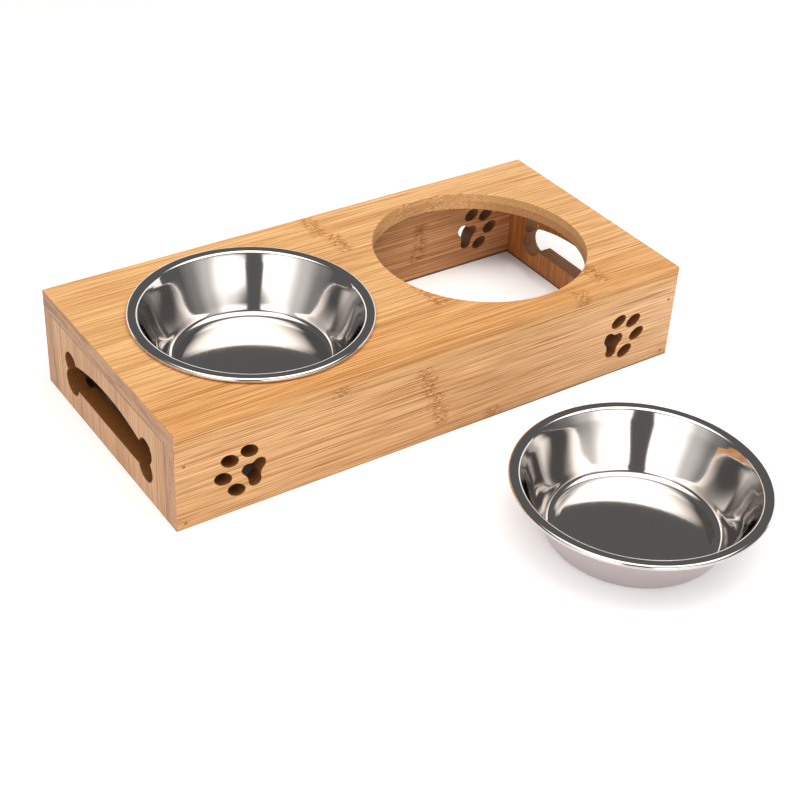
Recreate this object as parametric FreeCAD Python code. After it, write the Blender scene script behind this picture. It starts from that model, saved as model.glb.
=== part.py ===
import FreeCAD, Part
import math
import os

# Raised pet feeder: a bamboo box with an open bottom, two round bowl seats and two pressed steel bowls.
# Lengths are in millimetres. X runs along the stand, the front faces -Y and Z is up.
# The left bowl hangs in its seat, and the right bowl stands on the floor in front of the stand.

vec = FreeCAD.Vector

# Stand
stand_length = 380.0
stand_depth = 180.0
stand_height = 70.0
top_thickness = 12.5
wall_thickness = 12.0
arris_radius = 0.8
cutout_rounding = 0.6
cut_overrun = 2.0
place_tolerance = 0.001

# Bowl seats in the top: the wood left around them, inside the walls
seat_bridge = 31.0
seat_end_margin = 16.5
seat_side_margin = 5.0

# Bone-shaped hand holes in the two ends
handle_length = 120.6
handle_height = 30.7
left_handle_drop = 0.9
right_handle_drop = 3.0
upper_lobe_radius = 8.2
lower_lobe_radius = 9.0
handle_sill_rise = 7.2
handle_crown_rise = 0.9

# Paw-print cut-outs in the front and the back
paw_size = 34.5
paw_inset = 43.0
toe_length = 12.3
toe_width = 8.5
toe_tilt_degrees = 26.0
# Toe and pad places are shares of the paw's size, outwards and upwards from the paw's middle.
toe_place_shares = ((-0.173, 0.362), (0.205, 0.280), (0.339, -0.054), (0.083, -0.380))
pad_place_shares = ((-0.281, -0.303), (-0.135, -0.025), (-0.365, 0.016))
pad_lobe_radii = (4.25, 3.9, 4.4)
pad_waist_radii = (9.0, 3.0, 7.0)

# Brads that pin the front and the back to the ends
brad_length = 25.0
brad_radius = 0.7
brad_head_radius = 1.0
brad_head_height = 1.0
brad_tip_length = 1.6
brad_sink = 0.4
brad_clearance = 0.05
brad_height_shares = (0.08, 0.8)

# Dowels that hold the top on the four walls
dowel_radius = 3.0
dowel_length = 18.0
dowel_top_bite = 7.0
dowel_chamfer = 0.5
dowel_clearance = 0.05
dowel_end_gap = 0.5
long_wall_dowel_spacing = 110.0
end_wall_dowel_spacing = 100.0

# Bowls
sheet_thickness = 0.8
bowl_height = 38.8
rim_overlap = 5.0
mouth_clearance = 1.4
wall_draft = 18.8
foot_ring_width = 8.6
floor_disc_rise = 0.4
floor_step_width = 2.2
floor_bend_radius = 5.0
base_bend_radius = 6.0
mouth_bend_radius = 2.4
curl_bend_radius = 1.35
curl_tuck = 2.2
seat_gap = 0.3
loose_bowl_x = 44.4
loose_bowl_gap = 57.1

# Worked out from the sizes above
wall_height = stand_height - top_thickness
end_wall_length = stand_depth - 2 * wall_thickness
end_wall_middle = (stand_length - wall_thickness) / 2
long_wall_middle = (stand_depth - wall_thickness) / 2

# The seats are as large as the walls leave room for, both ways, and the bowls follow the seats.
room_along = stand_length - 2 * wall_thickness - seat_bridge - 2 * seat_end_margin
room_across = end_wall_length - 2 * seat_side_margin
seat_radius = min(room_along / 4, room_across / 2)
seat_spacing = 2 * seat_radius + seat_bridge
rim_radius = seat_radius + rim_overlap
mouth_radius = seat_radius - mouth_clearance
base_radius = mouth_radius - wall_draft
floor_disc_radius = base_radius - foot_ring_width
half_sheet = sheet_thickness / 2
curl_height = 2 * curl_bend_radius + sheet_thickness
seated_bowl_base = stand_height + seat_gap + curl_height - bowl_height
loose_bowl_y = -(stand_depth / 2 + loose_bowl_gap + rim_radius)

# The set's origin is the middle of its footprint on the floor, loose bowl included.
footprint_low = vec(
    min(-stand_length / 2, loose_bowl_x - rim_radius), min(-stand_depth / 2, loose_bowl_y - rim_radius), 0)
footprint_high = vec(
    max(stand_length / 2, loose_bowl_x + rim_radius), max(stand_depth / 2, loose_bowl_y + rim_radius), 0)
footprint_middle = (footprint_low + footprint_high) / 2

SIDES = (-1, 1)


def block(low, high):
    """A box between two opposite corners."""
    size = high - low
    return Part.makeBox(size.x, size.y, size.z, low)


def fuse_all(shapes):
    """One solid out of shapes that overlap."""
    return shapes[0].multiFuse(shapes[1:]).removeSplitter()


def prism(edges, travel):
    """A closed flat outline carried along a straight travel."""
    return Part.Face(Part.Wire(edges)).extrude(travel)


def on_plane(low, high, place):
    """Whether a span lies flat in the plane at a place."""
    return abs(low - place) < place_tolerance and abs(high - place) < place_tolerance


def stand_arrises(shape):
    """The edges that lie in two of the stand's outer planes at once."""
    found = []
    for edge in shape.Edges:
        box = edge.BoundBox
        planes = [on_plane(box.XMin, box.XMax, side * stand_length / 2) for side in SIDES]
        planes += [on_plane(box.YMin, box.YMax, side * stand_depth / 2) for side in SIDES]
        planes += [on_plane(box.ZMin, box.ZMax, level) for level in (0, stand_height)]
        if sum(planes) == 2:
            found.append(edge)
    return found


def cutout_edges(shape):
    """The edges of every hole through a flat face."""
    found = []
    for face in shape.Faces:
        for wire in face.Wires:
            if not wire.isSame(face.OuterWire):
                found += wire.Edges
    return found


def eased(board):
    """A board with its cut-outs and its share of the stand's arrises rounded."""
    edges = cutout_edges(board)
    if edges:
        board = board.makeFillet(cutout_rounding, edges)
    return board.makeFillet(arris_radius, stand_arrises(board))


def brad_places():
    """The outer end of each brad's axis and the way it points, by long wall and end."""
    places = {}
    for wall, front_or_back in (("front", -1), ("back", 1)):
        for end, left_or_right in (("left", -1), ("right", 1)):
            inwards = vec(0, -front_or_back, 0)
            x = left_or_right * end_wall_middle
            y = front_or_back * (stand_depth / 2 - brad_sink)
            heads = [vec(x, y, wall_height * share) for share in brad_height_shares]
            places[wall + "_" + end + "_brads"] = (heads, inwards)
    return places


def brad(head, inwards):
    """A headed pin with a pointed tip."""
    shank_length = brad_length - brad_tip_length
    tip = head + inwards * shank_length
    return fuse_all([
        Part.makeCylinder(brad_head_radius, brad_head_height, head, inwards),
        Part.makeCylinder(brad_radius, shank_length, head, inwards),
        Part.makeCone(brad_radius, 0, brad_tip_length, tip, inwards),
    ])


def brad_pocket(head, inwards):
    """The hole that a brad fills, open at the wall's outer face."""
    mouth = head - inwards * (brad_sink + cut_overrun)
    head_depth = brad_sink + cut_overrun + brad_head_height + brad_clearance
    return fuse_all([
        Part.makeCylinder(brad_head_radius + brad_clearance, head_depth, mouth, inwards),
        Part.makeCylinder(brad_radius + brad_clearance, brad_length + brad_clearance, head, inwards),
    ])


def dowel_places():
    """The middle of the joint face above each dowel, by wall."""
    places = {}
    for wall, side in (("front", -1), ("back", 1)):
        row = [step * long_wall_dowel_spacing for step in (-1, 0, 1)]
        places[wall + "_dowels"] = [vec(x, side * long_wall_middle, wall_height) for x in row]
    for wall, side in (("left", -1), ("right", 1)):
        row = [step * end_wall_dowel_spacing / 2 for step in SIDES]
        places[wall + "_dowels"] = [vec(side * end_wall_middle, y, wall_height) for y in row]
    return places


def dowel(place):
    """A round peg with chamfered ends, upright through the joint between a wall and the top."""
    foot = place + vec(0, 0, dowel_top_bite - dowel_length)
    peg = Part.makeCylinder(dowel_radius, dowel_length, foot)
    return peg.makeChamfer(dowel_chamfer, [edge for edge in peg.Edges if edge.Closed])


def dowel_pocket(place):
    """The two blind holes that a dowel fills, as one cutter."""
    foot = place + vec(0, 0, dowel_top_bite - dowel_length - dowel_end_gap)
    return Part.makeCylinder(dowel_radius + dowel_clearance, dowel_length + 2 * dowel_end_gap, foot)


def drilled(board):
    """A board with the holes for every brad and dowel that reaches it."""
    pockets = [brad_pocket(head, inwards) for heads, inwards in brad_places().values() for head in heads]
    pockets += [dowel_pocket(place) for row in dowel_places().values() for place in row]
    return board.cut(pockets)


def top_panel():
    """The flat top with two round seats."""
    corner = vec(stand_length / 2, stand_depth / 2, 0)
    board = block(vec(0, 0, wall_height) - corner, vec(0, 0, stand_height) + corner)
    for side in SIDES:
        foot = vec(side * seat_spacing / 2, 0, wall_height - cut_overrun)
        board = board.cut(Part.makeCylinder(seat_radius, top_thickness + 2 * cut_overrun, foot))
    return drilled(eased(board))


def lobed_outline(lobes, waist_radii):
    """Arcs around a ring of round lobes, joined by hollow arcs that touch both neighbours.

    lobes holds (centre, radius) pairs in order around the ring, in a plane square to Y, and waist_radii
    holds the radius of the hollow arc that follows each lobe.
    """
    middle = sum((centre for centre, radius in lobes), vec()) / len(lobes)
    waists = []
    for index, (centre, radius) in enumerate(lobes):
        next_centre, next_radius = lobes[(index + 1) % len(lobes)]
        waist = waist_radii[index]
        line = next_centre - centre
        reach, next_reach = radius + waist, next_radius + waist
        along = (reach ** 2 - next_reach ** 2 + line.Length ** 2) / (2 * line.Length)
        outwards = math.sqrt(reach ** 2 - along ** 2)
        way = line / line.Length
        square = way.cross(vec(0, 1, 0))
        if square.dot(centre + line / 2 - middle) < 0:
            square = -square
        pivot = centre + way * along + square * outwards
        start = centre + (pivot - centre) * (radius / reach)
        stop = next_centre + (pivot - next_centre) * (next_radius / next_reach)
        inwards = ((start + stop) / 2 - pivot).normalize()
        waists.append((start, pivot + inwards * waist, stop))
    edges = []
    for index, (centre, radius) in enumerate(lobes):
        crown = centre + (centre - middle).normalize() * radius
        edges.append(Part.Arc(waists[index - 1][2], crown, waists[index][0]).toShape())
        edges.append(Part.Arc(*waists[index]).toShape())
    return edges


def paw_cutters(side, wall_side):
    """The five holes of one paw print, toes outwards, through a long wall."""
    middle = vec(side * (stand_length / 2 - paw_inset), wall_side * long_wall_middle, wall_height / 2)
    through = vec(0, wall_thickness + 2 * cut_overrun, 0)

    def place(shares):
        return middle - through / 2 + vec(side * shares[0] * paw_size, 0, shares[1] * paw_size)

    tilt = math.radians(toe_tilt_degrees)
    long_way = vec(side * math.cos(tilt), 0, math.sin(tilt))
    short_way = long_way.cross(vec(0, 1, 0))
    cutters = []
    for shares in toe_place_shares:
        centre = place(shares)
        toe = Part.Ellipse(centre + long_way * toe_length / 2, centre + short_way * toe_width / 2, centre)
        cutters.append(prism([toe.toShape()], through))
    lobes = [(place(shares), radius) for shares, radius in zip(pad_place_shares, pad_lobe_radii)]
    cutters.append(prism(lobed_outline(lobes, pad_waist_radii), through))
    return cutters


def long_wall(wall_side):
    """The front or back wall: full length, with a paw print near each end."""
    middle = vec(0, wall_side * long_wall_middle, 0)
    half = vec(stand_length / 2, wall_thickness / 2, 0)
    board = block(middle - half, middle + half + vec(0, 0, wall_height))
    for side in SIDES:
        board = board.cut(paw_cutters(side, wall_side))
    return drilled(eased(board))


def handle_cutter(side):
    """A bone: four round lobes joined by a bar with a straight sill and an arched head."""
    start_x = side * end_wall_middle - wall_thickness / 2 - cut_overrun
    travel = vec(wall_thickness + 2 * cut_overrun, 0, 0)
    drop = left_handle_drop if side < 0 else right_handle_drop
    bottom = (wall_height - handle_height) / 2 - drop
    upper_level = bottom + handle_height - upper_lobe_radius
    upper_lobe = vec(start_x, handle_length / 2 - upper_lobe_radius, upper_level)
    lower_lobe = vec(start_x, handle_length / 2 - lower_lobe_radius, bottom + lower_lobe_radius)
    sill = vec(start_x, lower_lobe.y, bottom + handle_sill_rise)
    crown = vec(start_x, 0, bottom + handle_height + handle_crown_rise)

    def mirrored(point):
        return vec(point.x, -point.y, point.z)

    bar = prism([
        Part.makeLine(mirrored(sill), sill),
        Part.makeLine(sill, upper_lobe),
        Part.Arc(upper_lobe, crown, mirrored(upper_lobe)).toShape(),
        Part.makeLine(mirrored(upper_lobe), mirrored(sill)),
    ], travel)
    lobes = []
    for centre, radius in ((upper_lobe, upper_lobe_radius), (lower_lobe, lower_lobe_radius)):
        for point in (centre, mirrored(centre)):
            lobes.append(Part.makeCylinder(radius, travel.Length, point, travel))
    return fuse_all([bar] + lobes)


def end_wall(side):
    """The left or right end: it stands between the long walls and has the hand hole."""
    middle = vec(side * end_wall_middle, 0, 0)
    half = vec(wall_thickness / 2, end_wall_length / 2, 0)
    board = block(middle - half, middle + half + vec(0, 0, wall_height))
    return drilled(eased(board.cut(handle_cutter(side))))


def shifted_corners(corners, distance):
    """The corners of an open path moved to its left by a distance, with mitred joints."""
    ways = [(end - start).normalize() for start, end in zip(corners, corners[1:])]
    lefts = [vec(-way.z, 0, way.x) for way in ways]
    moved = [corners[0] + lefts[0] * distance]
    for corner, before, after in zip(corners[1:], lefts, lefts[1:]):
        moved.append(corner + (before + after) * (distance / (1 + before.dot(after))))
    moved.append(corners[-1] + lefts[-1] * distance)
    return moved


def bent_path(corners, bends):
    """Straight runs joined by tangent arcs: bends gives the radius at each inner corner."""
    edges = []
    here = corners[0]
    for before, corner, after, bend in zip(corners, corners[1:], corners[2:], bends):
        way_in = (corner - before).normalize()
        way_out = (after - corner).normalize()
        half_turn = math.acos(max(-1, min(1, way_in.dot(way_out)))) / 2
        setback = bend * math.tan(half_turn)
        start = corner - way_in * setback
        stop = corner + way_out * setback
        bulge = (way_in - way_out).normalize() * (bend / math.cos(half_turn) - bend)
        if not start.isEqual(here, place_tolerance):
            edges.append(Part.makeLine(here, start))
            here = start
        edges.append(Part.Arc(here, corner - bulge, stop).toShape())
        here = stop
    edges.append(Part.makeLine(here, corners[-1]))
    return edges


def bowl_section():
    """Half of the pressed sheet's cross-section, from the axis over the floor and wall to the rolled rim."""
    disc_level = half_sheet + floor_disc_rise
    brim = bowl_height - half_sheet
    curl_edge = rim_radius - half_sheet
    curl_foot = brim - 2 * curl_bend_radius
    corners = [
        vec(0, 0, disc_level),
        vec(floor_disc_radius, 0, disc_level),
        vec(floor_disc_radius + floor_step_width, 0, half_sheet),
        vec(base_radius, 0, half_sheet),
        vec(mouth_radius, 0, brim),
        vec(curl_edge, 0, brim),
        vec(curl_edge, 0, curl_foot),
        vec(curl_edge - curl_tuck, 0, curl_foot),
    ]
    bends = (floor_bend_radius, floor_bend_radius, base_bend_radius, mouth_bend_radius)
    bends += (curl_bend_radius, curl_bend_radius)
    ways = [end - start for start, end in zip(corners, corners[1:])]
    left_turns = [before.x * after.z > before.z * after.x for before, after in zip(ways, ways[1:])]
    skins = []
    for distance in (half_sheet, -half_sheet):
        radii = [bend - distance if left else bend + distance for bend, left in zip(bends, left_turns)]
        skins.append(bent_path(shifted_corners(corners, distance), radii))
    inside, outside = skins
    lip = Part.makeLine(inside[-1].Vertexes[-1].Point, outside[-1].Vertexes[-1].Point)
    axis = Part.makeLine(outside[0].Vertexes[0].Point, inside[0].Vertexes[0].Point)
    return Part.Face(Part.Wire(Part.__sortEdges__(inside + [lip] + outside + [axis])))


def bowl(place):
    """A pressed bowl with its foot at a place: the section turned once about its upright axis."""
    turned = bowl_section().revolve(vec(), vec(0, 0, 1), 360)
    return turned.translated(place)


def pieces():
    """Every node's shape, about the middle of the stand's own base."""
    nodes = {
        "top_panel": top_panel(),
        "front_panel": long_wall(-1),
        "back_panel": long_wall(1),
        "left_end_panel": end_wall(-1),
        "right_end_panel": end_wall(1),
        "left_bowl": bowl(vec(-seat_spacing / 2, 0, seated_bowl_base)),
        "right_bowl": bowl(vec(loose_bowl_x, loose_bowl_y, 0)),
    }
    for node, (heads, inwards) in brad_places().items():
        nodes[node] = Part.makeCompound([brad(head, inwards) for head in heads])
    for node, row in dowel_places().items():
        nodes[node] = Part.makeCompound([dowel(place) for place in row])
    return nodes


os.makedirs("parts", exist_ok=True)
for node, shape in pieces().items():
    shape.translated(-footprint_middle).exportStep("parts/" + node + ".step")
    state = "valid" if shape.isValid() else "NOT VALID"
    print(node, len(shape.Solids), "solids", round(shape.Volume), "mm3", state)
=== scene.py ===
import math

import bpy
import numpy as np
from mathutils import Matrix, Vector


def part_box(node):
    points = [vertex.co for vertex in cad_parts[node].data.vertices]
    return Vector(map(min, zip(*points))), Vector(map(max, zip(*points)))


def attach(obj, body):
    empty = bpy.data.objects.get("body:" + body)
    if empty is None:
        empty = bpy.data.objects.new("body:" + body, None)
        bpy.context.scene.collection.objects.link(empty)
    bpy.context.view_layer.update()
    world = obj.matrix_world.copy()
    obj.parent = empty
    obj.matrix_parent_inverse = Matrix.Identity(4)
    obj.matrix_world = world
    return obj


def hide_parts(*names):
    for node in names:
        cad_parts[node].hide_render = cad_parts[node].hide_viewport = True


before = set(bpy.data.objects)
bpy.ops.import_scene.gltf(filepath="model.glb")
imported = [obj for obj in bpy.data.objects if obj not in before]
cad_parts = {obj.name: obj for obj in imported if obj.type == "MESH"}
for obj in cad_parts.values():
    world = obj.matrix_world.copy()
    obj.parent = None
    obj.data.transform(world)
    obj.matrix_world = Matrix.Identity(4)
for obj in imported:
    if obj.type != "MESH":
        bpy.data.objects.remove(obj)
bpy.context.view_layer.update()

# Raised pet feeder: a bamboo box with two bowl seats, one bowl hanging in its seat and one on the floor.
# The boards, brads and dowels are the solids of the frame with new finishes. The bowls are new surfaces.
# Sizes are in millimetres, and MM turns them into metres. The patterns of the boards are laid out about the
# middle of the stand's own base.

MM = 0.001
top_low, top_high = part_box("top_panel")
stand_middle = Vector(((top_low.x + top_high.x) / 2, (top_low.y + top_high.y) / 2, 0.0))
joint_level = top_low.z / MM
top_level = top_high.z / MM
half_depth = (top_high.y - top_low.y) / 2 / MM
half_length = (top_high.x - top_low.x) / 2 / MM
corner_depth = (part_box("left_end_panel")[1].y - stand_middle.y) / MM
ply = 6.0
border = 3.0
corner_margin = 15.0
X, Y, Z = 0, 1, 2

# Camera, matched to the corners of the box and the rims of the bowls in the photograph
camera_azimuth_degrees = -35.758
camera_elevation_degrees = 35.343
camera_roll_degrees = 3.375
camera_right = 22.70
camera_up = -22.85
camera_distance = 1083.07
camera_lens = 71.862
camera_sensor = 36.0

# Bowls: the section of the pressed sheet's middle, close to that of the frame's solids
sheet_thickness = 0.8
mouth_inset = 6.4
wall_draft = 18.8
foot_ring_width = 8.6
floor_step_width = 2.8
floor_disc_rise = 0.25
floor_bend_radius = 5.0
base_bend_radius = 6.0
mouth_bend_radius = 2.4
curl_bend_radius = 1.35
curl_tuck = 2.2
wall_bulge = 0.5
wall_ripple = 0.045
wall_waves = ((5, 1.0, 0.7), (9, 0.7, 2.1), (16, 0.5, 4.0), (23, 0.3, 1.3))
bowl_columns = 288
section_step = 1.5
section_turn_degrees = 6.0
lip_points = 9
mark_length = 100.0


def linear(colour):
    """An sRGB hex colour as linear red, green and blue with full alpha."""
    shares = np.array([int(colour[start:start + 2], 16) for start in (1, 3, 5)]) / 255
    curve = np.where(shares <= 0.04045, shares / 12.92, ((shares + 0.055) / 1.055) ** 2.4)
    return (*curve, 1.0)


def add(tree, kind, inputs, stops=(), spread="LINEAR", **settings):
    """Adds a node with its settings, and sets or links each input named in inputs.

    stops are a colour ramp's (place, linear colour) pairs in order, and spread is the way between them.
    """
    made = tree.nodes.new(kind)
    for name, value in settings.items():
        setattr(made, name, value)
    for key, value in inputs.items():
        if isinstance(value, bpy.types.NodeSocket):
            tree.links.new(value, made.inputs[key])
        else:
            made.inputs[key].default_value = value
    for number, (place, colour) in enumerate(stops):
        ramp = made.color_ramp
        ramp.interpolation = spread
        element = ramp.elements[number] if number < 2 else ramp.elements.new(place)
        element.position = place
        element.color = colour
    return made


def blank_material(name):
    """A new material with only its output, and its node tree."""
    material = bpy.data.materials.new(name)
    material.use_nodes = True
    material.node_tree.nodes.clear()
    return material, material.node_tree


# Bamboo boards. Mix nodes have one set of sockets for each kind of value: these are the colour ones.
MIX_FACTOR, MIX_A, MIX_B, MIX_RESULT = 0, 6, 7, 2
laid_over = {"data_type": "RGBA", "blend_type": "MIX"}
multiplied = {"data_type": "RGBA", "blend_type": "MULTIPLY"}

internode_length = 340.0
knuckle_half_width = 5.5
knuckle_softness = 3.0
knuckle_raggedness = 8.0
knuckle_range = 200.0
ply_slide = 101.0
ply_shift_share = 0.37
strip_wrap = 0.999
grain_depth = 0.15
grain_bump = 0.35
knuckle_bump = 0.6
line_half_width = 0.35
seam_width = 0.8
# Painted contact shadow along the lower edge of the walls: its height, its fade along the stand, and its
# strength at the left and at the right
contact_shadow_height = 1.6
contact_shadow_fade = 60.0
contact_shadow_left, contact_shadow_right = 0.2, 0.85
layer_length = 34.0
layer_thickness = 2.4

# Size of each grain pattern along and across the fibres, and its detail
grain_patterns = {
    "fibre": (60.0, 0.58, 2.0),
    "vein": (100.0, 1.3, 2.0),
    "streak": (260.0, 6.0, 2.0),
    "ragged": (400.0, 1.6, 1.0),
    "speck": (3.2, 0.9, 2.0),
}


def bamboo(name, axes_order, span, second_ply, cut_zone, strips, colours):
    """Bamboo board: split canes planed to strips, glued side by side in two layers, sanded and oiled.

    The eye sees long fine fibres, a tone of its own in each strip, a rough speckled knuckle where a strip
    crosses a joint of the cane, dull dotted ends of the fibres where the board is cut across, and the brown
    scorched walls of cut-outs burnt through it with a laser.
    axes_order numbers the axes along the fibres, across them and through the board, span is the board's reach
    across the fibres, second_ply is the glue line's place through the board and the side of it with the
    second layer, cut_zone is the middle and half size of the part with scorched walls, and strips lists each
    strip's edge as a share of the span, its tone, its redness and the place of its knuckle along the fibres.
    """
    along, across, through = axes_order
    material, tree = blank_material(name)
    coordinates = add(tree, "ShaderNodeTexCoord", {})
    place = add(tree, "ShaderNodeMapping", {
        "Vector": coordinates.outputs["Object"],
        "Location": -stand_middle / MM,
        "Scale": (1 / MM, 1 / MM, 1 / MM),
    }).outputs[0]
    axes = add(tree, "ShaderNodeSeparateXYZ", {0: place}).outputs
    square_on = add(tree, "ShaderNodeVectorMath", {0: coordinates.outputs["Normal"]}, operation="ABSOLUTE")
    facing = add(tree, "ShaderNodeSeparateXYZ", {0: square_on.outputs[0]}).outputs

    patterns = {}
    for pattern, (along_size, across_size, detail) in grain_patterns.items():
        scale = np.full(3, 1 / across_size)
        scale[along] = 1 / along_size
        stretched = add(tree, "ShaderNodeVectorMath", {0: place, 1: scale}, operation="MULTIPLY").outputs[0]
        patterns[pattern] = add(tree, "ShaderNodeTexNoise", {
            "Vector": stretched, "Scale": 1.0, "Detail": detail, "Roughness": 0.6,
        }).outputs["Fac"]

    # The second layer has the same strips moved across and along, so that its knuckles lie elsewhere.
    glue_line, side = second_ply
    second = add(
        tree, "ShaderNodeMath", {0: axes[through], 1: glue_line},
        operation="GREATER_THAN" if side > 0 else "LESS_THAN").outputs[0]
    share = add(tree, "ShaderNodeMapRange", {
        "Value": axes[across], "From Min": span[0], "From Max": span[1],
    }).outputs[0]
    shifted = add(
        tree, "ShaderNodeMath", {0: second, 1: ply_shift_share, 2: share},
        operation="MULTIPLY_ADD").outputs[0]
    strip = add(
        tree, "ShaderNodeMath", {0: shifted, 1: strip_wrap}, operation="FLOORED_MODULO").outputs[0]
    stops = [
        (edge, (tone, knuckle / knuckle_range / 2 + 0.5, redness, 1.0))
        for edge, tone, redness, knuckle in strips
    ]
    strip_values = add(tree, "ShaderNodeValToRGB", {0: strip}, stops=stops, spread="CONSTANT")
    tone, knuckle_share, redness = add(
        tree, "ShaderNodeSeparateColor", {0: strip_values.outputs["Color"]}).outputs

    # Distance along the fibres from the nearest knuckle, ragged from fibre to fibre
    knuckle = add(tree, "ShaderNodeMapRange", {
        "Value": knuckle_share, "To Min": -knuckle_range, "To Max": knuckle_range,
    }).outputs[0]
    slid = add(
        tree, "ShaderNodeMath", {0: second, 1: ply_slide, 2: axes[along]},
        operation="MULTIPLY_ADD").outputs[0]
    ragged = add(
        tree, "ShaderNodeMath", {0: patterns["ragged"], 1: knuckle_raggedness, 2: slid},
        operation="MULTIPLY_ADD").outputs[0]
    offset = add(tree, "ShaderNodeMath", {0: ragged, 1: knuckle}, operation="SUBTRACT").outputs[0]
    distance = add(
        tree, "ShaderNodeMath", {0: offset, 1: internode_length / 2}, operation="PINGPONG").outputs[0]
    knuckled = add(tree, "ShaderNodeMapRange", {
        "Value": distance,
        "From Min": knuckle_half_width - knuckle_softness, "From Max": knuckle_half_width + knuckle_softness,
        "To Min": 1.0, "To Max": 0.0,
    }, interpolation_type="SMOOTHSTEP").outputs[0]

    # Colour: fibres, veins and streaks, then the strip's tone
    colour = add(tree, "ShaderNodeValToRGB", {0: patterns["fibre"]}, stops=[
        (0.36, linear(colours["dark"])),
        (0.49, linear(colours["middle"])),
        (0.62, linear(colours["light"])),
    ]).outputs["Color"]
    veins = add(tree, "ShaderNodeValToRGB", {0: patterns["vein"]}, stops=[
        (0.36, (0.80, 0.70, 0.60, 1.0)),
        (0.47, (1.00, 1.00, 1.00, 1.0)),
        (0.64, (1.06, 1.08, 1.10, 1.0)),
    ]).outputs["Color"]
    colour = add(tree, "ShaderNodeMix", {
        MIX_FACTOR: colours["veins"], MIX_A: colour, MIX_B: veins}, **multiplied).outputs[MIX_RESULT]
    streaked = add(tree, "ShaderNodeMapRange", {
        "Value": patterns["streak"], "From Min": 0.54, "From Max": 0.74, "To Max": 0.35,
    }, interpolation_type="SMOOTHSTEP").outputs[0]
    colour = add(tree, "ShaderNodeMix", {
        MIX_FACTOR: streaked, MIX_A: colour, MIX_B: linear(colours["streak"]),
    }, **laid_over).outputs[MIX_RESULT]
    toned = add(tree, "ShaderNodeMix", {
        MIX_FACTOR: tone, MIX_A: (0.80, 0.77, 0.73, 1.0), MIX_B: (1.10, 1.10, 1.10, 1.0),
    }, **laid_over).outputs[MIX_RESULT]
    toned = add(tree, "ShaderNodeMix", {
        MIX_FACTOR: redness, MIX_A: toned, MIX_B: (0.95, 0.80, 0.60, 1.0)}, **multiplied).outputs[MIX_RESULT]
    colour = add(tree, "ShaderNodeMix", {
        MIX_FACTOR: 1.0, MIX_A: colour, MIX_B: toned}, **multiplied).outputs[MIX_RESULT]

    # The boards are paler towards the stand's right end. A wall or end board's second, inner layer is darkened
    # by a painted shade, for the dim inside of the box.
    paled = add(tree, "ShaderNodeMapRange", {
        "Value": axes[X], "From Min": half_length / 4, "From Max": half_length, "To Max": colours["paling"],
    }).outputs[0]
    colour = add(tree, "ShaderNodeMix", {
        MIX_FACTOR: paled, MIX_A: colour, MIX_B: (1.15, 1.25, 1.5, 1.0)}, **multiplied).outputs[MIX_RESULT]
    colour = add(tree, "ShaderNodeMix", {
        MIX_FACTOR: second, MIX_A: colour, MIX_B: linear(colours["second_ply_shade"]),
    }, **multiplied).outputs[MIX_RESULT]

    # Knuckles: short dashes along the fibres, darker and lighter than the board
    dashes = add(tree, "ShaderNodeValToRGB", {0: patterns["speck"]}, stops=[
        (0.40, (0.56, 0.42, 0.30, 1.0)),
        (0.50, (0.86, 0.76, 0.66, 1.0)),
        (0.60, (1.10, 1.12, 1.14, 1.0)),
    ]).outputs["Color"]
    colour = add(tree, "ShaderNodeMix", {
        MIX_FACTOR: knuckled, MIX_A: colour, MIX_B: dashes}, **multiplied).outputs[MIX_RESULT]

    # Cut ends, where the surface faces along the fibres: dull, with fibre ends as dots. The sawn ends of the
    # stand are dull brown in uneven layers. The milled walls of holes are warmer, and darker in the second one
    # of the board's two layers, a painted shade.
    cut_end = add(tree, "ShaderNodeMapRange", {
        "Value": facing[along], "From Min": 0.45, "From Max": 0.85,
    }, interpolation_type="SMOOTHSTEP").outputs[0]
    dots = add(tree, "ShaderNodeTexVoronoi", {"Vector": place, "Scale": 0.9}).outputs["Distance"]
    sawn_colour = add(tree, "ShaderNodeValToRGB", {0: dots}, stops=[
        (0.10, linear("#a3765a")), (0.45, linear("#c69673"))]).outputs["Color"]
    layer_scale = np.full(3, 1 / layer_length)
    layer_scale[through] = 1 / layer_thickness
    layered = add(tree, "ShaderNodeVectorMath", {0: place, 1: layer_scale}, operation="MULTIPLY").outputs[0]
    layers = add(tree, "ShaderNodeTexNoise", {
        "Vector": layered, "Scale": 1.0, "Detail": 2.0, "Roughness": 0.6}).outputs["Fac"]
    layer_tones = add(tree, "ShaderNodeValToRGB", {0: layers}, stops=[
        (0.36, (0.66, 0.60, 0.58, 1.0)), (0.50, (1.00, 0.99, 0.96, 1.0)), (0.66, (1.12, 1.12, 1.10, 1.0)),
    ]).outputs["Color"]
    sawn_colour = add(tree, "ShaderNodeMix", {
        MIX_FACTOR: 1.0, MIX_A: sawn_colour, MIX_B: layer_tones}, **multiplied).outputs[MIX_RESULT]
    milled_colour = add(tree, "ShaderNodeValToRGB", {0: dots}, stops=[
        (0.10, linear("#a87540")), (0.45, linear("#dcab72"))]).outputs["Color"]
    milled_colour = add(tree, "ShaderNodeMix", {
        MIX_FACTOR: second, MIX_A: milled_colour, MIX_B: (0.80, 0.70, 0.66, 1.0),
    }, **multiplied).outputs[MIX_RESULT]
    from_centre = add(tree, "ShaderNodeMath", {0: axes[X]}, operation="ABSOLUTE").outputs[0]
    milled = add(tree, "ShaderNodeMath", {
        0: from_centre, 1: half_length - border}, operation="LESS_THAN").outputs[0]
    end_colour = add(tree, "ShaderNodeMix", {
        MIX_FACTOR: milled, MIX_A: sawn_colour, MIX_B: milled_colour}, **laid_over).outputs[MIX_RESULT]
    colour = add(tree, "ShaderNodeMix", {
        MIX_FACTOR: cut_end, MIX_A: colour, MIX_B: end_colour}, **laid_over).outputs[MIX_RESULT]

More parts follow.
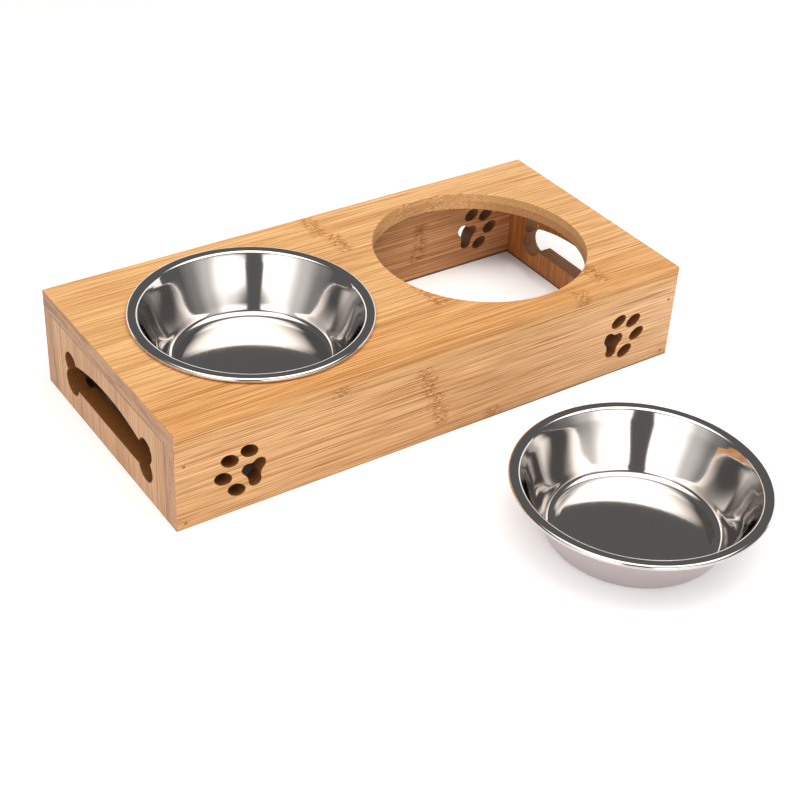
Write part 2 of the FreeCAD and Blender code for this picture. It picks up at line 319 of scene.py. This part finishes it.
    # Scorched walls of cut-outs, which face along the board's faces inside its cut zone
    zone_middle, zone_half = cut_zone
    from_middle = add(
        tree, "ShaderNodeVectorMath", {0: place, 1: zone_middle}, operation="SUBTRACT").outputs[0]
    reach = add(tree, "ShaderNodeVectorMath", {0: from_middle, 1: zone_half}, operation="DIVIDE").outputs[0]
    reach = add(tree, "ShaderNodeVectorMath", {0: reach}, operation="ABSOLUTE").outputs[0]
    reaches = add(tree, "ShaderNodeSeparateXYZ", {0: reach}).outputs
    furthest = add(tree, "ShaderNodeMath", {
        0: reaches[along], 1: reaches[across]}, operation="MAXIMUM").outputs[0]
    in_zone = add(tree, "ShaderNodeMath", {0: furthest, 1: 1.0}, operation="LESS_THAN").outputs[0]
    scorched = add(tree, "ShaderNodeMapRange", {
        "Value": facing[through], "From Min": 0.35, "From Max": 0.75, "To Min": in_zone, "To Max": 0.0,
    }).outputs[0]
    scorch = add(tree, "ShaderNodeValToRGB", {0: patterns["fibre"]}, stops=[
        (0.3, linear(colours["scorch_dark"])), (0.7, linear(colours["scorch_light"]))]).outputs["Color"]
    colour = add(tree, "ShaderNodeMix", {
        MIX_FACTOR: scorched, MIX_A: colour, MIX_B: scorch}, **laid_over).outputs[MIX_RESULT]

    # Fine dark lines: a broken one where the top meets the walls, the seams of the end boards with the boards
    # round them, and a painted contact shadow along the lower edge of the walls on the floor, darker on the
    # right
    from_joint = add(tree, "ShaderNodeMath", {0: axes[Z], 1: joint_level}, operation="SUBTRACT").outputs[0]
    joint_distance = add(tree, "ShaderNodeMath", {0: from_joint}, operation="ABSOLUTE").outputs[0]
    breaks = add(tree, "ShaderNodeMapRange", {
        "Value": patterns["streak"], "From Min": 0.50, "From Max": 0.58, "To Min": 0.0, "To Max": 0.8,
    }).outputs[0]
    joint = add(tree, "ShaderNodeMapRange", {
        "Value": joint_distance, "From Min": line_half_width / 2, "From Max": line_half_width,
        "To Min": breaks, "To Max": 0.0,
    }).outputs[0]
    off_middle = add(tree, "ShaderNodeMath", {0: axes[Y]}, operation="ABSOLUTE").outputs[0]
    from_corner = add(
        tree, "ShaderNodeMath", {0: off_middle, 1: corner_depth}, operation="SUBTRACT").outputs[0]
    corner_distance = add(tree, "ShaderNodeMath", {0: from_corner}, operation="ABSOLUTE").outputs[0]
    seam_distance = add(
        tree, "ShaderNodeMath", {0: corner_distance, 1: joint_distance}, operation="MINIMUM").outputs[0]
    seam = add(tree, "ShaderNodeMapRange", {
        "Value": seam_distance, "From Min": seam_width / 2, "From Max": seam_width,
        "To Min": colours["seam_lines"], "To Max": 0.0,
    }).outputs[0]
    contact_shadow_strength = add(tree, "ShaderNodeMapRange", {
        "Value": axes[X], "From Min": 0.0, "From Max": contact_shadow_fade,
        "To Min": contact_shadow_left, "To Max": contact_shadow_right,
    }).outputs[0]
    # Painted contact shadow: the lowest strip of the walls is darkened where they stand on the floor.
    foot = add(tree, "ShaderNodeMapRange", {
        "Value": axes[Z], "From Min": contact_shadow_height - line_half_width, "From Max": contact_shadow_height,
        "To Min": contact_shadow_strength, "To Max": 0.0,
    }).outputs[0]
    lines = add(tree, "ShaderNodeMath", {0: joint, 1: seam}, operation="MAXIMUM").outputs[0]
    lines = add(tree, "ShaderNodeMath", {0: lines, 1: foot}, operation="MAXIMUM").outputs[0]
    colour = add(tree, "ShaderNodeMix", {
        MIX_FACTOR: lines, MIX_A: colour, MIX_B: linear("#4a2c14")}, **laid_over).outputs[MIX_RESULT]

    roughness = add(tree, "ShaderNodeMapRange", {
        "Value": patterns["fibre"], "From Min": 0.3, "From Max": 0.7, "To Min": 0.56, "To Max": 0.44,
    }).outputs[0]
    rough_knuckle = add(
        tree, "ShaderNodeMath", {0: patterns["speck"], 1: knuckled}, operation="MULTIPLY").outputs[0]
    height = add(
        tree, "ShaderNodeMath", {0: rough_knuckle, 1: knuckle_bump, 2: patterns["fibre"]},
        operation="MULTIPLY_ADD").outputs[0]
    bump = add(tree, "ShaderNodeBump", {
        "Strength": grain_bump, "Distance": grain_depth * MM, "Height": height}).outputs[0]
    shader = add(tree, "ShaderNodeBsdfPrincipled", {
        "Base Color": colour, "Roughness": roughness, "IOR": 1.5, "Specular IOR Level": 0.35, "Normal": bump,
    })
    add(tree, "ShaderNodeOutputMaterial", {0: shader.outputs[0]})
    return material


top_palette = {
    "seam_lines": 0.0,
    "veins": 0.5,
    "light": "#f4c78e",
    "middle": "#e4ae74",
    "dark": "#bf8247",
    "streak": "#bd8148",
    "paling": 0.4,
    "second_ply_shade": "#ffffff",
    "scorch_dark": "#6a3b17",
    "scorch_light": "#96602f",
}
wall_palette = {
    "seam_lines": 0.0,
    "veins": 0.5,
    "light": "#f8cb95",
    "middle": "#e6b07a",
    "dark": "#b97d45",
    "streak": "#b97f4a",
    "paling": 1.0,
    "second_ply_shade": "#eadbcf",
    "scorch_dark": "#6a3b17",
    "scorch_light": "#96602f",
}
right_end_palette = {
    "seam_lines": 0.7,
    "veins": 0.5,
    "light": "#ecaa67",
    "middle": "#d08e52",
    "dark": "#a66b38",
    "streak": "#a66b38",
    "paling": 0.0,
    "second_ply_shade": "#f0e2da",
    "scorch_dark": "#7d5230",
    "scorch_light": "#aa7a4c",
}
left_end_palette = {
    "seam_lines": 0.7,
    "veins": 0.7,
    "light": "#e6ba92",
    "middle": "#d7a57a",
    "dark": "#b98a60",
    "streak": "#b5835c",
    "paling": 0.0,
    "second_ply_shade": "#f0e2da",
    "scorch_dark": "#6a3b17",
    "scorch_light": "#96602f",
}

# Each strip's edge as a share of the board's width, its tone, its redness and its knuckle's place
top_strips = [
    (0.00, 0.58, 0.66, 112.0),
    (0.055, 0.62, 0.56, 137.0),
    (0.18, 0.65, 0.45, -88.0),
    (0.22, 0.75, 0.15, 27.0),
    (0.335, 0.80, 0.10, 27.0),
    (0.45, 0.90, 0.00, 88.0),
    (0.57, 0.70, 0.20, -88.0),
    (0.70, 0.90, 0.10, 10.0),
    (0.84, 0.75, 0.20, 5.0),
    (0.89, 1.00, 0.00, 7.0),
]
wall_strips = [
    (0.00, 0.30, 0.15, 43.0),
    (0.16, 0.45, 0.15, 1.0),
    (0.40, 0.50, 0.10, -3.0),
    (0.62, 0.75, 0.10, -9.0),
    (0.84, 0.65, 0.10, -13.0),
]
back_strips = [
    (0.00, 0.30, 0.15, -140.0),
    (0.16, 0.45, 0.15, 129.0),
    (0.40, 0.50, 0.10, 131.0),
    (0.62, 0.75, 0.10, -141.0),
    (0.84, 0.65, 0.10, -139.0),
]
end_strips = [
    (0.00, 0.50, 0.10, 150.0),
    (0.14, 0.80, 0.00, 150.0),
    (0.30, 0.55, 0.15, 150.0),
    (0.46, 0.70, 0.05, 150.0),
    (0.60, 0.45, 0.20, 150.0),
    (0.74, 0.75, 0.00, 150.0),
    (0.90, 0.40, 0.10, 150.0),
]


def dull_steel():
    """Drawn steel wire gone dull: brown, with patches of wood dust and filler on the heads."""
    material, tree = blank_material("dull drawn steel")
    place = add(tree, "ShaderNodeTexCoord", {}).outputs["Object"]
    patches = add(tree, "ShaderNodeTexNoise", {"Vector": place, "Scale": 1 / (0.6 * MM), "Detail": 3.0})
    colour = add(tree, "ShaderNodeValToRGB", {0: patches.outputs["Fac"]}, stops=[
        (0.35, linear("#9c744a")), (0.65, linear("#c69a68"))])
    shader = add(tree, "ShaderNodeBsdfPrincipled", {
        "Base Color": colour.outputs["Color"], "Metallic": 0.3, "Roughness": 0.55,
    })
    add(tree, "ShaderNodeOutputMaterial", {0: shader.outputs[0]})
    return material


def turned_beech():
    """Beech dowel, turned and fluted: pale pinkish wood with short fine rays along the peg."""
    material, tree = blank_material("turned beech")
    place = add(tree, "ShaderNodeTexCoord", {}).outputs["Object"]
    stretched = add(
        tree, "ShaderNodeVectorMath", {0: place, 1: (1 / (0.5 * MM), 1 / (0.5 * MM), 1 / (6 * MM))},
        operation="MULTIPLY").outputs[0]
    rays = add(tree, "ShaderNodeTexNoise", {"Vector": stretched, "Scale": 1.0, "Detail": 3.0})
    colour = add(tree, "ShaderNodeValToRGB", {0: rays.outputs["Fac"]}, stops=[
        (0.35, linear("#b98d62")), (0.65, linear("#e2c39a"))])
    shader = add(tree, "ShaderNodeBsdfPrincipled", {
        "Base Color": colour.outputs["Color"], "Roughness": 0.6, "IOR": 1.5,
    })
    add(tree, "ShaderNodeOutputMaterial", {0: shader.outputs[0]})
    return material


def pressed_steel():
    """Stainless steel sheet, deep-drawn and spun: mirror-like inside, satin outside.

    The piece's polish attribute is 1 on the inside and 0 on the outside. Its UV map runs round the bowl in
    turns and along the section in steps of mark_length, so polishing marks follow the spinning. The marks are
    drawn about 1 mm apart, coarser than real ones, so that they show.
    """
    material, tree = blank_material("spun stainless steel")
    polish = add(tree, "ShaderNodeAttribute", {}, attribute_name="polish").outputs["Fac"]
    spun = add(tree, "ShaderNodeUVMap", {}, uv_map="spinning").outputs["UV"]
    stretched = add(
        tree, "ShaderNodeVectorMath", {0: spun, 1: (6.0, 90.0, 1.0)}, operation="MULTIPLY").outputs[0]
    marks = add(tree, "ShaderNodeTexNoise", {"Vector": stretched, "Scale": 1.0, "Detail": 3.0}).outputs["Fac"]
    marked = add(tree, "ShaderNodeMapRange", {
        "Value": marks, "From Min": 0.3, "From Max": 0.7, "To Min": -0.02, "To Max": 0.02,
    }).outputs[0]
    finish = add(tree, "ShaderNodeMapRange", {
        "Value": polish, "To Min": 0.34, "To Max": 0.07,
    }).outputs[0]
    roughness = add(tree, "ShaderNodeMath", {0: finish, 1: marked}, operation="ADD").outputs[0]
    colour = add(tree, "ShaderNodeMix", {
        MIX_FACTOR: polish, MIX_A: linear("#c6baba"), MIX_B: linear("#dad5d2"),
    }, data_type="RGBA").outputs[MIX_RESULT]
    bump = add(tree, "ShaderNodeBump", {"Strength": 0.06, "Distance": 0.05 * MM, "Height": marks}).outputs[0]
    shader = add(tree, "ShaderNodeBsdfPrincipled", {
        "Base Color": colour, "Metallic": 1.0, "Roughness": roughness, "Normal": bump,
    })
    add(tree, "ShaderNodeOutputMaterial", {0: shader.outputs[0]})
    return material


def rounded_path(corners, bends, step, turn_step):
    """Points along straight runs joined by tangent arcs, and the unit left normal at each point.

    Runs are cut into steps of about one length and arcs into steps of about one angle.
    """
    ways = np.diff(corners, axis=0)
    ways /= np.linalg.norm(ways, axis=1)[:, None]
    points, normals = [], []
    here = corners[0]
    for corner, way_in, way_out, bend in zip(corners[1:], ways, ways[1:], bends):
        turn = math.atan2(way_in[0] * way_out[1] - way_in[1] * way_out[0], way_in @ way_out)
        setback = bend * math.tan(abs(turn) / 2)
        start = corner - way_in * setback
        left_in = np.array((-way_in[1], way_in[0]))
        count = max(1, int(np.linalg.norm(start - here) / step))
        shares = np.linspace(0, 1, count, endpoint=False)[:, None]
        points.append(here + (start - here) * shares)
        normals.append(np.repeat(left_in[None], count, axis=0))
        pivot = start + left_in * bend * np.sign(turn)
        angles = np.linspace(0, turn, max(2, int(abs(turn) / turn_step)), endpoint=False)[:, None]
        left = left_in * np.cos(angles) - way_in * np.sin(angles)
        points.append(pivot - left * bend * np.sign(turn))
        normals.append(left)
        here = corner + way_out * setback
    left = np.array((-ways[-1][1], ways[-1][0]))
    points.append(np.array((here, corners[-1])))
    normals.append(np.repeat(left[None], 2, axis=0))
    return np.concatenate(points), np.concatenate(normals)


def bowl(name, node, body, material):
    """A pressed bowl: a sheet's section turned about an upright axis.

    The section is a path from the axis over the floor, up the wall, out over the flange and round the rolled
    rim. Each point is carried half a sheet to the left for the inside and to the right for the outside, with
    a half circle round the sheet's edge, and a turn of the whole gives x = r cos a, y = r sin a. The wall is
    bulged out by half a wave, and uneven by a few hundredths of a millimetre, a sum of waves round the bowl.
    Both fade to nothing at the floor and at the flange.
    """
    low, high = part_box(node)
    centre = (low + high) / 2 / MM
    base = low.z / MM
    half = sheet_thickness / 2
    brim = (high.z - low.z) / MM - half
    edge = (high.x - low.x) / 2 / MM - half
    mouth = edge + half - mouth_inset
    foot = mouth - wall_draft
    disc = foot - foot_ring_width
    curl_foot = brim - 2 * curl_bend_radius
    corners = np.array((
        (0, half + floor_disc_rise),
        (disc, half + floor_disc_rise),
        (disc + floor_step_width, half),
        (foot, half),
        (mouth, brim),
        (edge, brim),
        (edge, curl_foot),
        (edge - curl_tuck, curl_foot),
    ))
    bends = (floor_bend_radius, floor_bend_radius, base_bend_radius, mouth_bend_radius)
    bends += (curl_bend_radius, curl_bend_radius)
    path, normals = rounded_path(corners, bends, section_step, math.radians(section_turn_degrees))

    angles = np.linspace(0, 2 * math.pi, bowl_columns, endpoint=False)
    inside = np.ones(len(path), bool)
    lip_turn = np.linspace(0, math.pi, lip_points)[1:-1, None]
    lip_way = np.array((normals[-1][1], -normals[-1][0]))
    lip = path[-1] + half * (normals[-1] * np.cos(lip_turn) + lip_way * np.sin(lip_turn))
    section = np.concatenate((path + half * normals, lip, (path - half * normals)[::-1]))
    facing = np.concatenate((normals, np.repeat(normals[-1:], len(lip), axis=0), normals[::-1]))
    polish = np.concatenate((inside, np.zeros(len(lip)), np.zeros(len(path))))
    run = np.concatenate(((0,), np.cumsum(np.linalg.norm(np.diff(section, axis=0), axis=1))))

    rise = np.clip((section[:, 1] - half - base_bend_radius) / (brim - 2 * base_bend_radius), 0, 1)
    on_wall = np.sin(math.pi * rise) * (section[:, 0] < mouth)
    bulge = wall_bulge * on_wall[:, None]
    waves = sum(share * np.sin(count * angles + start) for count, share, start in wall_waves)
    ripple = wall_ripple * on_wall[:, None] * waves - bulge
    radius = section[:, :1] + ripple * facing[:, :1]
    level = section[:, 1:] + ripple * facing[:, 1:]
    radius[[0, -1]] = 0
    grid = np.stack((
        centre.x + radius * np.cos(angles),
        centre.y + radius * np.sin(angles),
        base + level + 0 * angles,
    ), axis=-1)

    rows, columns = grid.shape[:2]
    vertices = np.concatenate((grid[0, :1], grid[1:-1].reshape(-1, 3), grid[-1, :1])) * MM
    ring = np.arange(columns)
    after = (ring + 1) % columns
    starts = 1 + columns * np.arange(rows - 3)[:, None]
    next_starts = starts + columns
    quads = np.stack((starts + ring, next_starts + ring, next_starts + after, starts + after), axis=-1)
    last = 1 + columns * (rows - 3)
    tip = len(vertices) - 1
    first_fan = np.stack((np.zeros(columns, int), 1 + ring, 1 + after), axis=-1)
    last_fan = np.stack((last + ring, np.full(columns, tip), last + after), axis=-1)
    faces = first_fan.tolist() + quads.reshape(-1, 4).tolist() + last_fan.tolist()

    mesh = bpy.data.meshes.new(name)
    mesh.from_pydata(vertices.tolist(), [], faces)
    mesh.polygons.foreach_set("use_smooth", np.ones(len(faces), bool))
    vertex_row = np.concatenate(((0,), np.repeat(np.arange(1, rows - 1), columns), (rows - 1,)))
    attribute = mesh.attributes.new("polish", "FLOAT", "POINT")
    attribute.data.foreach_set("value", polish[vertex_row].astype(np.float32))

    # Round the bowl in turns, with the last column of faces carried on to a whole turn
    corner_vertex = np.zeros(len(mesh.loops), np.int32)
    mesh.loops.foreach_get("vertex_index", corner_vertex)
    column = np.concatenate(((0,), np.tile(ring, rows - 2), (0,)))[corner_vertex]
    fan_column = np.repeat(ring, 3)
    quad_column = np.repeat(np.tile(ring, rows - 3), 4)
    face_column = np.concatenate((fan_column, quad_column, fan_column))
    column = np.where(column < face_column, columns, column)
    uv = np.stack((column / columns, run[vertex_row][corner_vertex] / mark_length), axis=-1)
    layer = mesh.uv_layers.new(name="spinning")
    layer.data.foreach_set("uv", uv.astype(np.float32).ravel())
    mesh.materials.append(material)
    mesh.update()
    piece = bpy.data.objects.new(name, mesh)
    bpy.context.scene.collection.objects.link(piece)
    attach(piece, body)
    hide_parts(node)
    return piece


def dress(nodes, material):
    """Gives frame solids a finish."""
    for node in nodes:
        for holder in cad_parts[node].material_slots:
            holder.material = material


depth_span = (-half_depth, half_depth)
height_span = (0.0, joint_level)
wall_middle = (0.0, 0.0, joint_level / 2)
cut_half = (half_length - border, half_depth - corner_margin, joint_level / 2 - border)
nowhere = ((0.0, 0.0, -1000.0), (1.0, 1.0, 1.0))
dress(["top_panel"], bamboo(
    "oiled bamboo top", (X, Y, Z), depth_span, (top_level - ply, -1), nowhere, top_strips, top_palette))
dress(["front_panel"], bamboo(
    "oiled bamboo front", (X, Z, Y), height_span, (-half_depth + ply, 1), (wall_middle, cut_half),
    wall_strips, wall_palette))
dress(["back_panel"], bamboo(
    "oiled bamboo back", (X, Z, Y), height_span, (half_depth - ply, -1), (wall_middle, cut_half),
    back_strips, wall_palette))
dress(["left_end_panel"], bamboo(
    "oiled bamboo left end", (Z, Y, X), depth_span, (-half_length + ply, 1), (wall_middle, cut_half),
    end_strips, left_end_palette))
dress(["right_end_panel"], bamboo(
    "oiled bamboo right end", (Z, Y, X), depth_span, (half_length - ply, -1), (wall_middle, cut_half),
    end_strips, right_end_palette))
brads = [wall + "_" + end + "_brads" for wall in ("front", "back") for end in ("left", "right")]
dress(brads, dull_steel())
dress([wall + "_dowels" for wall in ("front", "back", "left", "right")], turned_beech())
steel = pressed_steel()
bowl("seated_steel_bowl", "left_bowl", "seated_bowl", steel)
bowl("loose_steel_bowl", "right_bowl", "loose_bowl", steel)


# Studio: a white floor and backdrop, a large soft light overhead and one to each side of the camera
floor_half_width = 4000.0
openness_reach = 200.0
openness_samples = 32
shut_openness, open_openness = 0.05, 0.25
floor_glow = 0.33
far_floor_glow = 1.0
near_reach, far_reach = 800.0, 2200.0
backdrop_glow = 0.8
backdrop_radius = 2200.0
backdrop_height = 850.0
backdrop_half_turn_degrees = 70.0
backdrop_columns = 65
world_grey = 0.13
lamp_colour = "#fffcf7"


def white_paper(name, near_glow, far_glow):
    """White paper sweep: matt, with a glow for what the camera and mirrors see, so that it comes out white.

    The glow goes from its near to its far strength with the distance from the middle, where the lamps aim.

    Where it is shut in, as inside the box under a seated bowl, it has no glow, and its colour turns to a
    painted dark brown shade.
    """
    material, tree = blank_material(name)
    path = add(tree, "ShaderNodeLightPath", {}).outputs
    openness = add(tree, "ShaderNodeAmbientOcclusion", {
        "Distance": openness_reach * MM}, samples=openness_samples).outputs["AO"]
    lit = add(tree, "ShaderNodeMapRange", {
        "Value": openness, "From Min": shut_openness, "From Max": open_openness,
    }).outputs[0]
    seen = add(tree, "ShaderNodeMath", {
        0: path["Is Camera Ray"], 1: path["Is Glossy Ray"]}, operation="MAXIMUM").outputs[0]
    seen = add(
        tree, "ShaderNodeMath", {0: seen, 1: path["Is Transmission Ray"]}, operation="MAXIMUM").outputs[0]
    glow = add(tree, "ShaderNodeMath", {0: seen, 1: lit}, operation="MULTIPLY").outputs[0]
    place = add(tree, "ShaderNodeTexCoord", {}).outputs["Object"]
    distance = add(tree, "ShaderNodeVectorMath", {0: place}, operation="LENGTH").outputs["Value"]
    strength = add(tree, "ShaderNodeMapRange", {
        "Value": distance, "From Min": near_reach * MM, "From Max": far_reach * MM,
        "To Min": near_glow, "To Max": far_glow,
    }).outputs[0]
    glow = add(tree, "ShaderNodeMath", {0: glow, 1: strength}, operation="MULTIPLY").outputs[0]
    # Painted shade: where the paper is shut in, its colour turns from white to dark brown.
    colour = add(tree, "ShaderNodeMix", {
        MIX_FACTOR: lit, MIX_A: linear("#7a5f42"), MIX_B: linear("#eeeff1")}, **laid_over).outputs[MIX_RESULT]
    paper = add(tree, "ShaderNodeBsdfDiffuse", {"Color": colour})
    light = add(tree, "ShaderNodeEmission", {"Strength": glow})
    both = add(tree, "ShaderNodeAddShader", {0: paper.outputs[0], 1: light.outputs[0]})
    add(tree, "ShaderNodeOutputMaterial", {0: both.outputs[0]})
    return material


def sheet(name, grid, material):
    """A surface of the studio out of a grid of points."""
    rows, columns = grid.shape[:2]
    starts = np.arange(rows - 1)[:, None] * columns + np.arange(columns - 1)
    quads = np.stack((starts, starts + 1, starts + columns + 1, starts + columns), axis=-1).reshape(-1, 4)
    mesh = bpy.data.meshes.new(name)
    mesh.from_pydata((grid.reshape(-1, 3) * MM).tolist(), [], quads.tolist())
    mesh.materials.append(material)
    piece = bpy.data.objects.new(name, mesh)
    bpy.context.scene.collection.objects.link(piece)


def soft_light(name, azimuth_degrees, elevation_degrees, distance, width, height, brightness, across_stops):
    """A flat lamp aimed at the stand, placed round it like a camera view.

    Its brightness follows across_stops from its left edge to its right, and fades above and below.
    """
    azimuth = math.radians(azimuth_degrees)
    elevation = math.radians(elevation_degrees)
    turn = Matrix.Rotation(azimuth, 4, "Z") @ Matrix.Rotation(math.pi / 2 - elevation, 4, "X")
    data = bpy.data.lights.new(name, "AREA")
    data.shape = "RECTANGLE"
    data.size = width * MM
    data.size_y = height * MM
    data.energy = brightness * math.pi * data.size * data.size_y
    data.color = linear(lamp_colour)[:3]
    data.use_nodes = True
    tree = data.node_tree
    tree.nodes.clear()
    place = add(tree, "ShaderNodeNewGeometry", {}).outputs["Parametric"]
    sides = add(tree, "ShaderNodeSeparateXYZ", {0: place}).outputs
    stops = [(spot, (share, share, share, 1.0)) for spot, share in across_stops]
    across = add(tree, "ShaderNodeValToRGB", {0: sides[0]}, stops=stops, spread="EASE")
    from_middle = add(tree, "ShaderNodeMath", {0: sides[1], 1: 0.5}, operation="SUBTRACT").outputs[0]
    from_middle = add(tree, "ShaderNodeMath", {0: from_middle}, operation="ABSOLUTE").outputs[0]
    upright = add(tree, "ShaderNodeMapRange", {
        "Value": from_middle, "From Min": 0.1, "From Max": 0.5, "To Min": 1.0, "To Max": 0.0,
    }, interpolation_type="SMOOTHSTEP").outputs[0]
    strength = add(tree, "ShaderNodeMath", {
        0: across.outputs["Color"], 1: upright}, operation="MULTIPLY").outputs[0]
    glow = add(tree, "ShaderNodeEmission", {"Strength": strength})
    add(tree, "ShaderNodeOutputLight", {0: glow.outputs[0]})
    lamp = bpy.data.objects.new(name, data)
    away = (turn @ Vector((0, 0, distance * MM, 0))).to_3d()
    lamp.matrix_world = Matrix.Translation(away) @ turn
    lamp.visible_camera = False
    bpy.context.scene.collection.objects.link(lamp)


def studio():
    """The floor, the backdrop, the lamps and a dim room that looks white to the camera."""
    edges = np.array((-floor_half_width, floor_half_width))
    flat = np.stack(np.meshgrid(edges, edges) + [np.zeros((2, 2))], axis=-1)
    sheet("floor", flat, white_paper("white paper floor", floor_glow, far_floor_glow))
    far_way = math.radians(camera_azimuth_degrees + 90)
    half_turn = math.radians(backdrop_half_turn_degrees)
    turns, levels = np.meshgrid(
        np.linspace(far_way - half_turn, far_way + half_turn, backdrop_columns),
        np.array((0.0, backdrop_height)))
    wall = np.stack((backdrop_radius * np.cos(turns), backdrop_radius * np.sin(turns), levels), axis=-1)
    sheet("backdrop", wall, white_paper("white paper backdrop", backdrop_glow, backdrop_glow))
    soft_light(
        "overhead softbox", azimuth_degrees=camera_azimuth_degrees + 15, elevation_degrees=80,
        distance=1600, width=3400, height=2400, brightness=2.8,
        across_stops=[(0.0, 0.0), (0.14, 1.0), (0.86, 1.0), (1.0, 0.0)])
    soft_light(
        "left softbox", azimuth_degrees=camera_azimuth_degrees - 46, elevation_degrees=18,
        distance=1700, width=2500, height=1200, brightness=2.7, across_stops=[
            (0.0, 0.02), (0.18, 0.06), (0.42, 0.25), (0.62, 0.7), (0.80, 1.0), (0.92, 1.0), (0.985, 0.0)])
    soft_light(
        "right softbox", azimuth_degrees=camera_azimuth_degrees + 46, elevation_degrees=18,
        distance=1700, width=2500, height=1100, brightness=2.6, across_stops=[
            (0.015, 0.0), (0.08, 1.0), (0.20, 1.0), (0.38, 0.7), (0.58, 0.25), (0.82, 0.06), (1.0, 0.02)])
    world = bpy.data.worlds.new("dim room")
    world.use_nodes = True
    tree = world.node_tree
    seen = add(tree, "ShaderNodeLightPath", {}).outputs["Is Camera Ray"]
    level = add(tree, "ShaderNodeMapRange", {"Value": seen, "To Min": world_grey, "To Max": 1.0}).outputs[0]
    tree.links.new(level, tree.nodes["Background"].inputs["Strength"])
    tree.nodes["Background"].inputs["Color"].default_value = (1.0, 1.0, 1.0, 1.0)
    bpy.context.scene.world = world


def photo_camera():
    """The camera at the photograph's place: turned to its azimuth, elevation and roll, then moved back."""
    turn = (
        Matrix.Rotation(math.radians(camera_azimuth_degrees), 4, "Z")
        @ Matrix.Rotation(math.radians(90 - camera_elevation_degrees), 4, "X")
        @ Matrix.Rotation(math.radians(camera_roll_degrees), 4, "Z")
    )
    place = Vector((camera_right, camera_up, camera_distance)) * MM
    data = bpy.data.cameras.new("photo camera")
    data.lens = camera_lens
    data.sensor_width = camera_sensor
    camera = bpy.data.objects.new("photo camera", data)
    camera.matrix_world = Matrix.Translation(stand_middle) @ turn @ Matrix.Translation(place)
    bpy.context.scene.collection.objects.link(camera)
    bpy.context.scene.camera = camera


studio()
photo_camera()
bpy.context.scene.view_settings.view_transform = "Standard"
